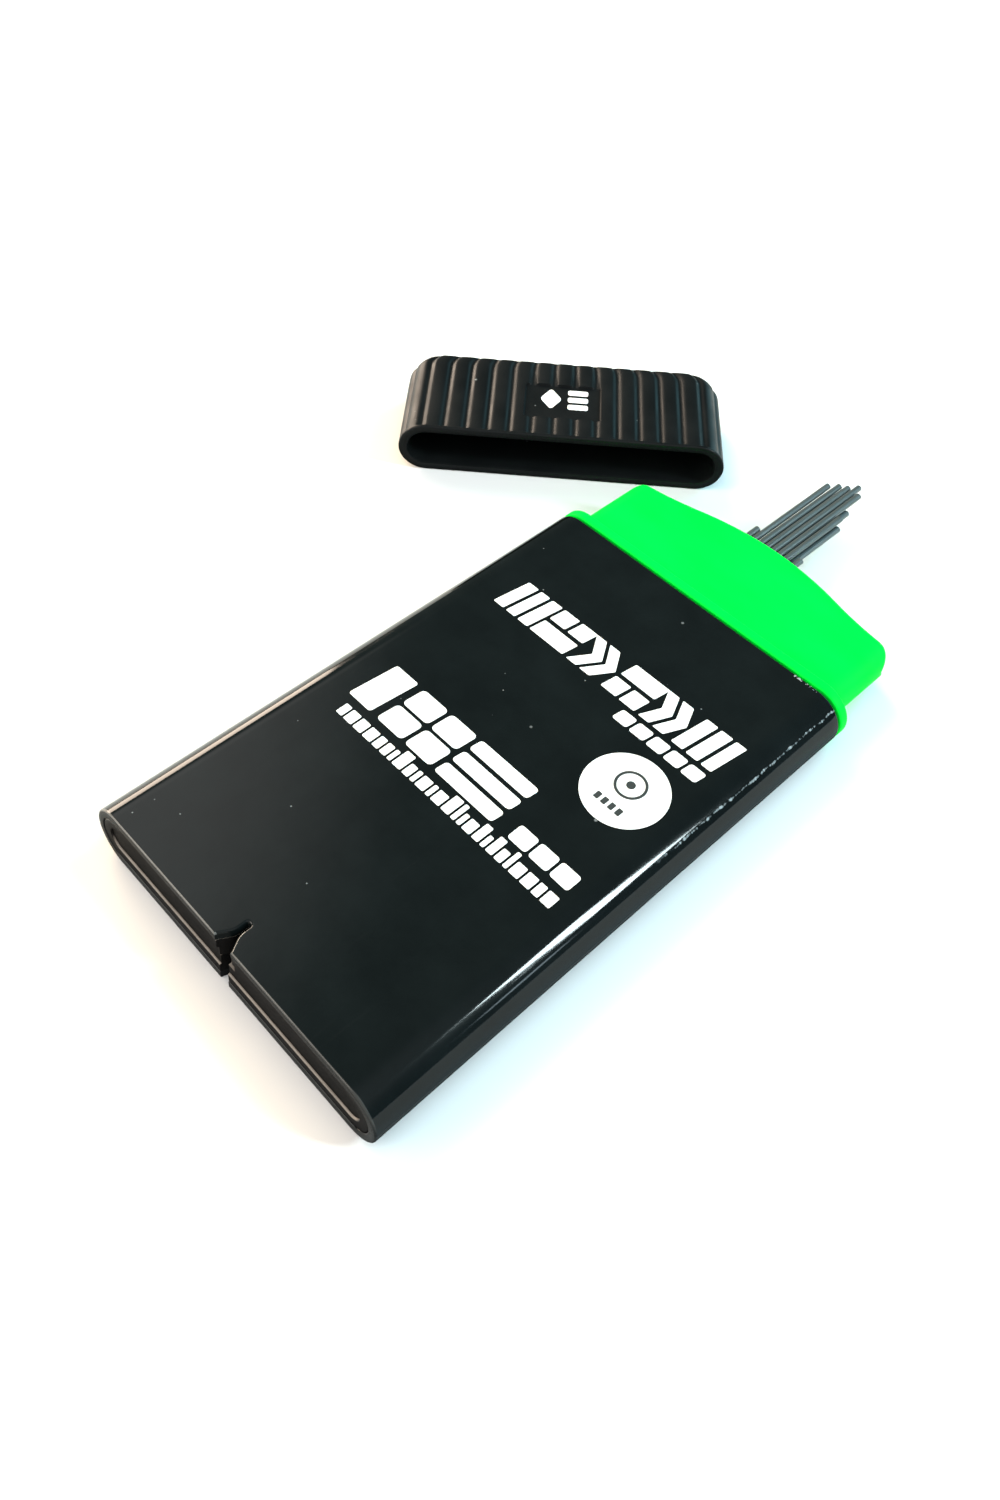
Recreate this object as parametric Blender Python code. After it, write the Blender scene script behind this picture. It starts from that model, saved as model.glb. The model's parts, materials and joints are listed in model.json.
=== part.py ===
"""Flat case of pencil leads: black sleeve, bottom plug, green neck insert, loose ribbed cap and leads.

The case lies on its back. The origin is the centre of the sleeve's flat back face, +X runs across
the case, +Y towards its mouth and +Z up. The cap lies beside the mouth, turned on the same plane.
"""

import math

import bmesh
import bpy
from mathutils import Matrix, Vector

MM = 0.001
GAP = 0.3 * MM
ARC_STEPS = 14
OVERLAP = 0.5 * MM
SHARP_ANGLE = math.radians(35)

# Sleeve: a straight tube with flat faces and fully rounded sides
SLEEVE_LENGTH = 55.0 * MM
SLEEVE_WIDTH = 36.1 * MM
SLEEVE_THICKNESS = 6.1 * MM
SLEEVE_WALL = 0.85 * MM
MID_HEIGHT = SLEEVE_THICKNESS / 2
BOTTOM_Y = -SLEEVE_LENGTH / 2
MOUTH_Y = SLEEVE_LENGTH / 2
BORE_WIDTH = SLEEVE_WIDTH - 2 * SLEEVE_WALL
BORE_THICKNESS = SLEEVE_THICKNESS - 2 * SLEEVE_WALL

# Notch in the middle of the bottom end: in front a flared mouth and a slit, behind a narrower notch
NOTCH_MOUTH = 2.3 * MM
NOTCH_DEPTH = 1.4 * MM
NOTCH_SHOULDER = 0.3 * MM
SLIT_WIDTH = 0.45 * MM
SLIT_DEPTH = 2.6 * MM
BACK_NOTCH_LEFT = -0.73 * MM
BACK_NOTCH_RIGHT = 0.17 * MM
BACK_NOTCH_DEPTH = 1.5 * MM

# Bottom plug: a cup with a thick dished face, pressed into the sleeve, open side inwards
PLUG_RECESS = 0.1 * MM
PLUG_RIM = 0.55 * MM
PLUG_DISH = 0.2 * MM
PLUG_FACE = 3.3 * MM
PLUG_HEIGHT = 3.9 * MM
PLUG_WALL = 1.0 * MM

# Neck insert: flange on the sleeve's rim, arched neck above it, skirt and magazine below it
FLANGE_THICKNESS = 1.1 * MM
NECK_WIDTH = 33.2 * MM
NECK_THICKNESS = 3.9 * MM
NECK_HEIGHT = 11.6 * MM
CROWN_RADIUS = 33.0 * MM
CROWN_REACH = 8.8 * MM
SHOULDER_SLOPE = 0.10
NECK_CORNER = 1.5 * MM
NECK_CORNER_STEPS = 6
NECK_TOP_STEPS = 12
SKIRT_DEPTH = 6.5 * MM
MAGAZINE_WIDTH = 12.4 * MM
MAGAZINE_THICKNESS = 3.8 * MM
CHANNEL_WIDTH = 10.8 * MM
CHANNEL_THICKNESS = 2.9 * MM
CHANNEL_FLOOR_Y = BOTTOM_Y + 5.6 * MM
MAGAZINE_FLOOR = 1.0 * MM
POCKET_WALL = 1.0 * MM
POCKET_THICKNESS = 2.3 * MM
POCKET_ROOF = 1.4 * MM

# Cap: a ribbed cup that goes over the neck
CAP_LENGTH = 13.8 * MM
CAP_WIDTH = SLEEVE_WIDTH
CAP_THICKNESS = SLEEVE_THICKNESS
CAP_END_WALL = 0.9 * MM
CAP_SIDE_RADIUS = 2.0 * MM
CAP_FACE_RADIUS = 0.6 * MM
CAP_RIM_BAND = 0.4 * MM
RIB_COUNT = 33
RIB_DEPTH = 0.35 * MM
RIB_FACETS = 4
END_ROUND_SHARES = (0.45, 0.2, 0.06, 0.0)

# Where the loose cap's rim centre lies, how far it is turned, and where its swing brings it square
CAP_REST = Vector((-25.67 * MM, 35.64 * MM, 0.0))
CAP_TURN = math.radians(42.8)
CAP_IN_LINE = Vector((0.0, 72.5 * MM, 0.0))

# Leads
LEAD_DIAMETER = 0.7 * MM
LEAD_LENGTH = 60.0 * MM
LEAD_SIDES = 12
LEAD_PITCH = 0.8 * MM
LAYER_PITCH = 0.8 * MM
LOWEST_LAYER_Z = MID_HEIGHT - CHANNEL_THICKNESS / 2 + GAP + LEAD_DIAMETER / 2

FLANGE_Y = MOUTH_Y + GAP
FLANGE_TOP_Y = FLANGE_Y + FLANGE_THICKNESS
NECK_TOP_Y = FLANGE_TOP_Y + NECK_HEIGHT

# Leads of each layer, lowest layer first: body, layer, x of the first lead, tips past the neck's top
LEAD_ROWS = (
    ("lower", 0, -4.8, [-1.9, -1.7, -2.0, -1.8, -1.6, -1.9, -1.7, -2.0, -1.8, -1.9, -1.6, -1.8, -2.0]),
    ("lower", 1, -4.8, [-1.8, -2.0]),
    ("lower", 1, 4.0, [-1.7, -1.9]),
    ("lower", 2, -4.35, [-1.6]),
    ("lower", 2, -3.55, [2.1]),
    ("lower", 2, 2.45, [1.7]),
    ("lower", 2, 3.25, [-1.7, -1.9]),
    ("middle", 1, -2.4, [12.9, 13.6, 13.1, 15.2, 12.2]),
    ("top", 2, -2.75, [13.4, 14.35, 14.85, 15.75, 14.6]),
    ("short", 1, 1.6, [9.4]),
    ("short", 2, 1.25, [10.1]),
)


def remove_everything():
    for item in list(bpy.data.objects):
        bpy.data.objects.remove(item, do_unlink=True)


def plastic(name, colour, roughness, metallic=0.0):
    material = bpy.data.materials.new(name)
    material.use_nodes = True
    shader = material.node_tree.nodes["Principled BSDF"]
    shader.inputs["Base Color"].default_value = (*colour, 1.0)
    shader.inputs["Roughness"].default_value = roughness
    shader.inputs["Metallic"].default_value = metallic
    return material


def add_object(name, bm, material=None):
    """Close the bmesh into a new object with its faces pointing out and its rounds smooth."""
    bmesh.ops.recalc_face_normals(bm, faces=bm.faces)
    mesh = bpy.data.meshes.new(name)
    bm.to_mesh(mesh)
    bm.free()
    mesh.shade_smooth()
    mesh.set_sharp_from_angle(angle=SHARP_ANGLE)
    item = bpy.data.objects.new(name, mesh)
    bpy.context.scene.collection.objects.link(item)
    if material:
        mesh.materials.append(material)
    return item


def stadium(width, thickness, y):
    """Ring of points around a section with flat faces and half-round sides, at height y of the case."""
    radius = thickness / 2
    reach = width / 2 - radius
    ring = []
    for side, start in ((1, -math.pi / 2), (-1, math.pi / 2)):
        for step in range(ARC_STEPS + 1):
            angle = start + math.pi * step / ARC_STEPS
            x = side * reach + radius * math.cos(angle)
            ring.append(Vector((x, y, MID_HEIGHT + radius * math.sin(angle))))
    return ring


def skin(name, rings, material=None, looped=False):
    """Join rings of equal length into one closed body; unless looped, fill the first and last ring."""
    bm = bmesh.new()
    loops = [[bm.verts.new(point) for point in ring] for ring in rings]
    pairs = list(zip(loops, loops[1:]))
    if looped:
        pairs.append((loops[-1], loops[0]))
    else:
        bm.faces.new(loops[0])
        bm.faces.new(loops[-1])
    for low, high in pairs:
        for i in range(len(low)):
            j = (i + 1) % len(low)
            bm.faces.new((low[i], low[j], high[j], high[i]))
    return add_object(name, bm, material)


def prism(name, outline, depth_axis, start, end):
    """Extrude a flat outline of (a, b) points from start to end along Y or Z."""
    if depth_axis == "Y":
        rings = [[Vector((a, depth, b)) for a, b in outline] for depth in (start, end)]
    else:
        rings = [[Vector((a, b, depth)) for a, b in outline] for depth in (start, end)]
    return skin(name, rings)


def rectangle(x_low, x_high, z_low, z_high):
    return [(x_low, z_low), (x_high, z_low), (x_high, z_high), (x_low, z_high)]


def combine(target, tool, operation):
    """Apply a boolean with a hidden tool object."""
    tool.hide_render = True
    tool.display_type = "WIRE"
    modifier = target.modifiers.new(tool.name, "BOOLEAN")
    modifier.operation = operation
    modifier.solver = "EXACT"
    modifier.object = tool


def notch_outline():
    """Flared notch with a slit at its root, drawn from outside the bottom end inwards."""
    outside = BOTTOM_Y - OVERLAP
    root = BOTTOM_Y + NOTCH_DEPTH
    right = [
        (NOTCH_MOUTH / 2, outside),
        (NOTCH_MOUTH / 2, BOTTOM_Y),
        (SLIT_WIDTH / 2 + NOTCH_SHOULDER, root - 2 * NOTCH_SHOULDER),
        (SLIT_WIDTH / 2, root),
        (SLIT_WIDTH / 2, BOTTOM_Y + SLIT_DEPTH),
    ]
    return right + [(-x, y) for x, y in reversed(right)]


def make_sleeve(material):
    rings = [
        stadium(SLEEVE_WIDTH, SLEEVE_THICKNESS, BOTTOM_Y),
        stadium(SLEEVE_WIDTH, SLEEVE_THICKNESS, MOUTH_Y),
        stadium(BORE_WIDTH, BORE_THICKNESS, MOUTH_Y),
        stadium(BORE_WIDTH, BORE_THICKNESS, BOTTOM_Y),
    ]
    return skin("sleeve", rings, material, looped=True)


def cut_notch(sleeve, plug):
    behind = [(BACK_NOTCH_LEFT, BOTTOM_Y - OVERLAP), (BACK_NOTCH_RIGHT, BOTTOM_Y - OVERLAP)]
    behind += [(x, BOTTOM_Y + BACK_NOTCH_DEPTH) for x in (BACK_NOTCH_RIGHT, BACK_NOTCH_LEFT)]
    top = SLEEVE_THICKNESS + OVERLAP
    halves = (
        ("front", notch_outline(), MID_HEIGHT, top),
        ("back", behind, -OVERLAP, MID_HEIGHT),
    )
    for target in (sleeve, plug):
        for half, outline, low, high in halves:
            cutter = prism(f"{target.name}_{half}_notch", outline, "Z", low, high)
            combine(target, cutter, "DIFFERENCE")


def make_plug(material):
    width = BORE_WIDTH - 2 * GAP
    thickness = BORE_THICKNESS - 2 * GAP
    outside = BOTTOM_Y + PLUG_RECESS
    inside = outside + PLUG_HEIGHT
    hollow_width = width - 2 * PLUG_WALL
    hollow_thickness = thickness - 2 * PLUG_WALL
    floor_inset = 2 * (PLUG_RIM + PLUG_DISH)
    rings = [
        stadium(width - floor_inset, thickness - floor_inset, outside + PLUG_DISH),
        stadium(width - 2 * PLUG_RIM, thickness - 2 * PLUG_RIM, outside),
        stadium(width, thickness, outside),
        stadium(width, thickness, inside),
        stadium(hollow_width, hollow_thickness, inside),
        stadium(hollow_width, hollow_thickness, outside + PLUG_FACE),
    ]
    return skin("bottom_plug", rings, material)


def neck_drop(x):
    """How far the neck's top edge lies under its highest point: a crown, then flatter shoulders."""
    crown = min(x, CROWN_REACH)
    drop = CROWN_RADIUS - math.sqrt(CROWN_RADIUS**2 - crown**2)
    slope = CROWN_REACH / math.sqrt(CROWN_RADIUS**2 - CROWN_REACH**2)
    past = x - crown
    length = NECK_WIDTH / 2 - NECK_CORNER - CROWN_REACH
    return drop + slope * past - (slope - SHOULDER_SLOPE) * past**2 / (2 * length)


def neck_outline():
    """Plan of the neck: straight sides, rounded corners, flat shoulders and a crown, all tangent."""
    half = NECK_WIDTH / 2
    lean = math.atan(SHOULDER_SLOPE)
    corner_x = half - NECK_CORNER
    touch_x = corner_x + NECK_CORNER * math.sin(lean)
    corner_y = NECK_TOP_Y - neck_drop(touch_x) - NECK_CORNER * math.cos(lean)
    right = [(half, MOUTH_Y)]
    for step in range(NECK_CORNER_STEPS):
        angle = (math.pi / 2 - lean) * step / NECK_CORNER_STEPS
        x = corner_x + NECK_CORNER * math.cos(angle)
        right.append((x, corner_y + NECK_CORNER * math.sin(angle)))
    for step in range(NECK_TOP_STEPS + 1):
        x = touch_x * (1 - step / NECK_TOP_STEPS)
        right.append((x, NECK_TOP_Y - neck_drop(x)))
    return right + [(-x, y) for x, y in reversed(right[:-1])]


def make_insert(material):
    foot = FLANGE_TOP_Y - OVERLAP
    neck = [stadium(NECK_WIDTH, NECK_THICKNESS, y) for y in (foot, NECK_TOP_Y + OVERLAP)]
    insert = skin("neck_insert", neck, material)
    plan = prism("neck_plan", neck_outline(), "Z", -OVERLAP, SLEEVE_THICKNESS + OVERLAP)
    combine(insert, plan, "INTERSECT")

    flange = [stadium(SLEEVE_WIDTH, SLEEVE_THICKNESS, y) for y in (FLANGE_Y, FLANGE_TOP_Y)]
    combine(insert, skin("flange_block", flange), "UNION")
    skirt_foot = FLANGE_Y - SKIRT_DEPTH
    skirt_size = (BORE_WIDTH - 2 * GAP, BORE_THICKNESS - 2 * GAP)
    skirt = [stadium(*skirt_size, y) for y in (skirt_foot, FLANGE_Y + OVERLAP)]
    combine(insert, skin("skirt_block", skirt), "UNION")
    half = MAGAZINE_WIDTH / 2
    low, high = MID_HEIGHT - MAGAZINE_THICKNESS / 2, MID_HEIGHT + MAGAZINE_THICKNESS / 2
    magazine = rectangle(-half, half, low, high)
    magazine_foot = CHANNEL_FLOOR_Y - MAGAZINE_FLOOR
    combine(insert, prism("magazine_block", magazine, "Y", magazine_foot, foot), "UNION")

    low, high = MID_HEIGHT - POCKET_THICKNESS / 2, MID_HEIGHT + POCKET_THICKNESS / 2
    inner, outer = half, NECK_WIDTH / 2 - POCKET_WALL - POCKET_THICKNESS / 4
    roof = NECK_TOP_Y - neck_drop(NECK_WIDTH / 2) - POCKET_ROOF
    for name, x_low, x_high in (("pocket_left", -outer, -inner), ("pocket_right", inner, outer)):
        pocket = rectangle(x_low, x_high, low, high)
        combine(insert, prism(name, pocket, "Y", skirt_foot - OVERLAP, roof), "DIFFERENCE")
    half = CHANNEL_WIDTH / 2
    low, high = MID_HEIGHT - CHANNEL_THICKNESS / 2, MID_HEIGHT + CHANNEL_THICKNESS / 2
    channel = rectangle(-half, half, low, high)
    top = NECK_TOP_Y + OVERLAP
    combine(insert, prism("channel_cutter", channel, "Y", CHANNEL_FLOOR_Y, top), "DIFFERENCE")
    return insert


def ribbed_ring(width, thickness, y, rib_depth):
    """Stadium ring walked at even steps, with grooves of rib_depth between convex ribs."""
    radius = thickness / 2
    flat = width - thickness
    arc = math.pi * radius
    total = 2 * (flat + arc)
    ring = []
    for step in range(RIB_COUNT * RIB_FACETS):
        crown = math.sin(math.pi * (step % RIB_FACETS) / RIB_FACETS) ** 0.5
        inset = rib_depth * (1 - crown)
        along = (total * ((step / RIB_FACETS - 0.5) / RIB_COUNT + 0.5) + flat / 2) % total
        side = 1 if along < flat + arc else -1
        along %= flat + arc
        if along < flat:
            x, z = along - flat / 2, -(radius - inset)
        else:
            angle = (along - flat) / radius - math.pi / 2
            x = flat / 2 + (radius - inset) * math.cos(angle)
            z = (radius - inset) * math.sin(angle)
        ring.append(Vector((side * x, y, MID_HEIGHT + side * z)))
    return ring


def end_round(distance, radius):
    """How far a rounded edge of this radius has drawn in at this distance from the end."""
    if distance >= radius:
        return 0.0
    return radius - math.sqrt(radius**2 - (radius - distance) ** 2)


def cap_outside():
    """Outer rings of the cap from its rim to its closed end: (y, rib depth) rows, then the rounding."""
    rows = [(0.0, 0.0), (CAP_RIM_BAND, 0.0), (CAP_RIM_BAND + RIB_DEPTH, RIB_DEPTH)]
    rows += [(CAP_LENGTH - CAP_SIDE_RADIUS, RIB_DEPTH)]
    rings = [ribbed_ring(CAP_WIDTH, CAP_THICKNESS, y, depth) for y, depth in rows]
    for share in END_ROUND_SHARES:
        left = CAP_SIDE_RADIUS * share
        width = CAP_WIDTH - 2 * end_round(left, CAP_SIDE_RADIUS)
        thickness = CAP_THICKNESS - 2 * end_round(left, CAP_FACE_RADIUS)
        rings.append(ribbed_ring(width, thickness, CAP_LENGTH - left, RIB_DEPTH * min(1.0, 3 * share)))
    return rings


def make_cap(material):
    width, thickness = NECK_WIDTH + 2 * GAP, NECK_THICKNESS + 2 * GAP
    depth = CAP_LENGTH - CAP_END_WALL
    inside = [ribbed_ring(width, thickness, y, 0.0) for y in (depth, 0.0)]
    return skin("cap", inside + cap_outside(), material)


def swing_pivot(start, end, turn):
    """The point that a turn of this angle goes around when it carries start to end."""
    rotation = Matrix.Rotation(turn, 2)
    offset = end.xy - rotation @ start.xy
    pivot = (Matrix.Identity(2) - rotation).inverted() @ offset
    return Vector((pivot.x, pivot.y, 0.0))


def add_empty(name, location):
    empty = bpy.data.objects.new(name, None)
    empty.location = location
    bpy.context.scene.collection.objects.link(empty)
    return empty


def place_cap(cap):
    """Hang the cap from the vertical axis that its swing turns on."""
    pivot = add_empty("cap_swing_axis", swing_pivot(CAP_REST, CAP_IN_LINE, -CAP_TURN))
    cap.parent = pivot
    cap.location = CAP_REST - pivot.location
    cap.rotation_euler = (0.0, 0.0, CAP_TURN)


def make_lead_mesh(material):
    bm = bmesh.new()
    radius = LEAD_DIAMETER / 2
    bmesh.ops.create_cone(
        bm,
        cap_ends=True,
        segments=LEAD_SIDES,
        radius1=radius,
        radius2=radius,
        depth=LEAD_LENGTH,
        matrix=Matrix.Rotation(math.pi / 2, 4, "X"),
    )
    mesh = bpy.data.meshes.new("lead")
    bm.to_mesh(mesh)
    bm.free()
    mesh.shade_smooth()
    mesh.set_sharp_from_angle(angle=SHARP_ANGLE)
    mesh.materials.append(material)
    return mesh


def make_leads(material):
    """Each lead is its own object; the leads of one body hang from one empty on their slide line."""
    mesh = make_lead_mesh(material)
    counts = {}
    slides = {}
    for body, layer, first_x, tips in LEAD_ROWS:
        z = LOWEST_LAYER_Z + layer * LAYER_PITCH
        if body not in slides:
            slides[body] = add_empty(f"leads_{body}_slide_line", Vector((0.0, MOUTH_Y, z)))
        for i, past_top in enumerate(tips):
            counts[body] = counts.get(body, 0) + 1
            lead = bpy.data.objects.new(f"lead_{body}_{counts[body]:02d}", mesh)
            bpy.context.scene.collection.objects.link(lead)
            x = first_x * MM + i * LEAD_PITCH
            y = NECK_TOP_Y + past_top * MM - LEAD_LENGTH / 2
            lead.parent = slides[body]
            lead.location = Vector((x, y, z)) - slides[body].location


def main():
    remove_everything()
    gloss_black = plastic("gloss_black_plastic", (0.012, 0.013, 0.014), 0.15)
    satin_black = plastic("satin_black_plastic", (0.010, 0.011, 0.011), 0.38)
    green = plastic("green_plastic", (0.0, 0.90, 0.09), 0.40)
    graphite = plastic("graphite", (0.07, 0.09, 0.095), 0.35, 0.4)
    cut_notch(make_sleeve(gloss_black), make_plug(satin_black))
    make_insert(green)
    place_cap(make_cap(satin_black))
    make_leads(graphite)


main()
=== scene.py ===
"""Looks of the lead holder: sleeve, plug, neck insert, loose cap, leads and printed marks."""
import json
import math
import random

import bmesh
import bpy
from mathutils import Matrix, Vector


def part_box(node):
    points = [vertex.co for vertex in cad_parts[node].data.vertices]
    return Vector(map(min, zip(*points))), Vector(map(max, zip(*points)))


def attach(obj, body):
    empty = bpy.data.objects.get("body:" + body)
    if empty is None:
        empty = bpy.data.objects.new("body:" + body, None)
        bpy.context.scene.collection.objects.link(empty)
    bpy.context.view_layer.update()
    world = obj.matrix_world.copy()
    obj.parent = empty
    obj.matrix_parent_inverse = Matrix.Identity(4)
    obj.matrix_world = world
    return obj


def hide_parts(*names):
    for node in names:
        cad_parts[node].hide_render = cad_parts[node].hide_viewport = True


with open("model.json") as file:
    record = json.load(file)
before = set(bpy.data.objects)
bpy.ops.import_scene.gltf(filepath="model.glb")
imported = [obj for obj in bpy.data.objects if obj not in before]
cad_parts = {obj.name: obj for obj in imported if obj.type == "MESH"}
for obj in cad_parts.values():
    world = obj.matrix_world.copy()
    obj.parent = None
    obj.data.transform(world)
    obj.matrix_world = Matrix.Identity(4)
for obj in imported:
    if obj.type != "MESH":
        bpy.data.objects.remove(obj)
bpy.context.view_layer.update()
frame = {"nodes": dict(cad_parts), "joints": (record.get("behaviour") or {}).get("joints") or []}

MM = 0.001
TAU = 2 * math.pi

# The case's frame, taken from the CAD boxes
SLEEVE_LOW, SLEEVE_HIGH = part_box("sleeve")
INSERT_LOW, INSERT_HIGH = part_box("neck_insert")
PLUG_LOW, PLUG_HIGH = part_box("bottom_plug")
MID_Z = (SLEEVE_LOW.z + SLEEVE_HIGH.z) / 2
HALF_X = (SLEEVE_HIGH.x - SLEEVE_LOW.x) / 2
HALF_Z = (SLEEVE_HIGH.z - SLEEVE_LOW.z) / 2
BOTTOM_Y = SLEEVE_LOW.y
MOUTH_Y = SLEEVE_HIGH.y

# Steps around each rounded side and along each flat face
ARC = 40
FLAT = 30
SHARP_ANGLE = math.radians(38)

# Sleeve and plug
SLEEVE_WALL = 0.85 * MM
END_EDGE = 0.18 * MM
INNER_EDGE = 0.10 * MM
PLUG_GAP = 0.03 * MM
PLUG_RECESS = 0.05 * MM
PLUG_RIM = 0.86 * MM
PLUG_DISH = 0.18 * MM
PLUG_FACE_EDGE = 0.08 * MM
PLUG_FLOOR_STEPS = (0.25 * MM, 0.05 * MM)
PLUG_BACK = 3.2 * MM
NOTCH_MOUTH = 2.2 * MM
NOTCH_DEPTH = 1.4 * MM
NOTCH_ROUND = 0.45 * MM
SLIT_WIDTH = 0.50 * MM
SLIT_DEPTH = 2.6 * MM
BACK_NOTCH_LEFT = -0.73 * MM
BACK_NOTCH_RIGHT = 0.17 * MM
BACK_NOTCH_FLARE = 0.25 * MM
BACK_NOTCH_TAPER = (0.2 * MM, 0.1 * MM)
BACK_NOTCH_DEPTH = 1.5 * MM
BACK_NOTCH_ROUND = 0.4 * MM
NOTCH_EDGE = 0.22 * MM
OVERCUT = 2 * MM

# Marks on the sleeve: a painted reflection streak along the right shoulder, a chipped rim, and a painted
# highlight on the end edges
# Painted reflection streak on the right shoulder: where it runs across, how wide it is, and where it
# starts along the case
STREAK_X = (17.02 * MM, 17.18 * MM)
STREAK_WIDTH = (0.02 * MM, 0.11 * MM)
STREAK_START_Y = (3.0 * MM, 6.0 * MM)
CHIP_X = 13.8 * MM
CHIP_REACH = 1.3 * MM
CHIP_DEPTH = 0.32 * MM
# Painted highlight on the bottom end's rounded front edge and the notch's right shoulder: its depth, its
# fade to the right, and its reach and depth at the notch
EDGE_HIGHLIGHT_DEPTH = 0.2 * MM
EDGE_HIGHLIGHT_FADE = (-4 * MM, 12 * MM)
NOTCH_HIGHLIGHT_REACH = 1.6 * MM
NOTCH_HIGHLIGHT_DEPTH = 1.9 * MM

# Neck insert
FLANGE_Y = MOUTH_Y + 0.3 * MM
FLANGE_THICKNESS = 1.1 * MM
FLANGE_TOP = FLANGE_Y + FLANGE_THICKNESS
FLANGE_EDGE = 0.22 * MM
FLANGE_LAP = 1.2 * MM
NECK_HALF_X = 16.6 * MM
NECK_HALF_Z = 1.95 * MM
NECK_FOOT = 1.0 * MM
FOOT_STEPS = 8
CROWN_RADIUS = 33.0 * MM
CROWN_REACH = 8.8 * MM
SHOULDER_SLOPE = 0.10
NECK_CORNER = 1.5 * MM
NECK_EDGE = 0.55 * MM
CHANNEL_HALF_X = 5.4 * MM
CHANNEL_HALF_Z = 1.45 * MM
CHANNEL_CORNER = 0.35 * MM
CHANNEL_FLOOR = 1.0 * MM
MOUTH_FLARE = 0.12 * MM
MOUTH_LIP = 0.05 * MM
MOUTH_EDGE = 0.15 * MM
MOUTH_STEPS = 10
SKIRT_GAP = 0.3 * MM
SKIRT_LIP = 0.4 * MM
SKIRT_HOLLOW_X = 1.0 * MM
SKIRT_HOLLOW_Z = 0.3 * MM
SKIRT_DEPTH = 6.5 * MM
MAGAZINE_HALF_X = 6.2 * MM
MAGAZINE_HALF_Z = 1.9 * MM
MAGAZINE_CORNER = 0.5 * MM
MAGAZINE_TAPER = 0.3 * MM

# Cap, along its own axes: across, along (from the rim), up
CAP_WALL = 0.95 * MM
CAP_SIDE_WALL = 1.05 * MM
CAP_END_WALL = 0.9 * MM
CAP_SIDE_RADIUS = 2.0 * MM
CAP_FACE_RADIUS = 0.55 * MM
CAP_BAND = 0.35 * MM
RIBS = 33
RIB_POINTS = 16
RIB_DEPTH = 0.30 * MM
CROWN_SHARE = 0.25
FLANK_SHARE = 0.25
CROWN_SAG = 0.12
RIB_FADE = 4.5
END_SHARES = (1.0, 0.8, 0.62, 0.46, 0.34, 0.26, 0.2, 0.14, 0.09, 0.05, 0.02, 0.0)
PANEL_ACROSS = (-4.35 * MM, 4.15 * MM)
PANEL_ALONG = (3.4 * MM, 9.45 * MM)
PANEL_DEPTH = 0.30 * MM
PANEL_EDGE = 0.12 * MM

# Leads; each end's profile is (distance from the end, share of the radius)
LEAD_SIDES = 24
LEAD_FOOT = ((0.0, 0.82), (0.05 * MM, 1.0))
LEAD_TIP = ((0.07 * MM, 1.0), (0.02 * MM, 0.93), (0.0, 0.80))
CHIPPED_ROW = 4
LEAD_LEAN = 0.04 * MM
LEAD_CHIP = 0.22
LEAD_ROUGHNESS = 0.05

# Printed marks, in mm on the face: x from the middle, y from the bottom end
INK = 0.025 * MM
INK_SINK = 0.02 * MM
DARK_LIFT = 0.02 * MM
BAND_Y = 40.45
BAND_HEIGHT = 4.25
BAND_LEAN = 0.6
BAND_GAP = 0.4
DASH_LEFT = 4.6
DASH_Y = 38.5
DASH_PITCH = 2.0
DASH_SIZE = (1.68, 1.4)
DISC_X = 10.83
DISC_Y = 33.5
DISC_RADIUS = 3.95
DISC_BAR_LEFT = 9.35
DISC_BAR_Y = 31.05
BLOCK_Y = 22.8
BLOCK_CORNER = 0.5
SQUARE_LEFT = 7.5
SQUARE_PITCH = 2.4
SQUARE_SIZE = (2.1, 1.75)
TICK_LEFT = -12.0
TICK_RIGHT = 13.6
TICK_Y = 20.6
TICK_GAP = 0.24
TICK_WIDTHS = (0.45, 0.75, 0.95, 1.05)
TICK_HEIGHT = 1.3
TALL_TICK = 1.9
TALL_SHARE = 0.2


# ---------------------------------------------------------------- meshes

def finish_piece(name, bm, body, material, replaced=()):
    """Turn a bmesh into a smooth piece that rides on a body and stands for CAD nodes."""
    bmesh.ops.recalc_face_normals(bm, faces=bm.faces)
    mesh = bpy.data.meshes.new(name)
    bm.to_mesh(mesh)
    bm.free()
    mesh.shade_smooth()
    mesh.set_sharp_from_angle(angle=SHARP_ANGLE)
    mesh.materials.append(material)
    piece = bpy.data.objects.new(name, mesh)
    bpy.context.scene.collection.objects.link(piece)
    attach(piece, body)
    even = piece.modifiers.new("even_normals", "WEIGHTED_NORMAL")
    even.keep_sharp = True
    if replaced:
        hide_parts(*replaced)
    return piece


def side_arc(half_z, radius, t):
    """Point of a rounded short side at share t of its length, from its bottom to its top."""
    straight = 2 * (half_z - radius)
    quarter = radius * math.pi / 2
    s = t * (2 * quarter + straight)
    if s <= quarter:
        angle = s / radius - math.pi / 2
        return radius * math.cos(angle), -half_z + radius + radius * math.sin(angle)
    if s <= quarter + straight:
        return radius, -half_z + radius + s - quarter
    angle = (s - quarter - straight) / radius
    return radius * math.cos(angle), half_z - radius + radius * math.sin(angle)


def ring_section(half_x, half_z, radius=None):
    """(x, z) points round a flat section with rounded sides; a half-round side without a radius."""
    radius = min(radius or half_z, half_z * 0.9999)
    reach = half_x - radius
    points = []
    for side in (1, -1):
        for i in range(ARC + 1):
            dx, dz = side_arc(half_z, radius, i / ARC)
            points.append((side * (reach + dx), side * dz))
        for i in range(1, FLAT):
            points.append((side * reach * (1 - 2 * i / FLAT), side * half_z))
    return points


def ring(half_x, half_z, y, radius=None):
    """A flat section placed across the case at y."""
    return [Vector((x, y, MID_Z + z)) for x, z in ring_section(half_x, half_z, radius)]


def join_loops(bm, low, high):
    """Skin two loops of the same length."""
    for i in range(len(low)):
        j = (i + 1) % len(low)
        bm.faces.new((low[i], low[j], high[j], high[i]))


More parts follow.
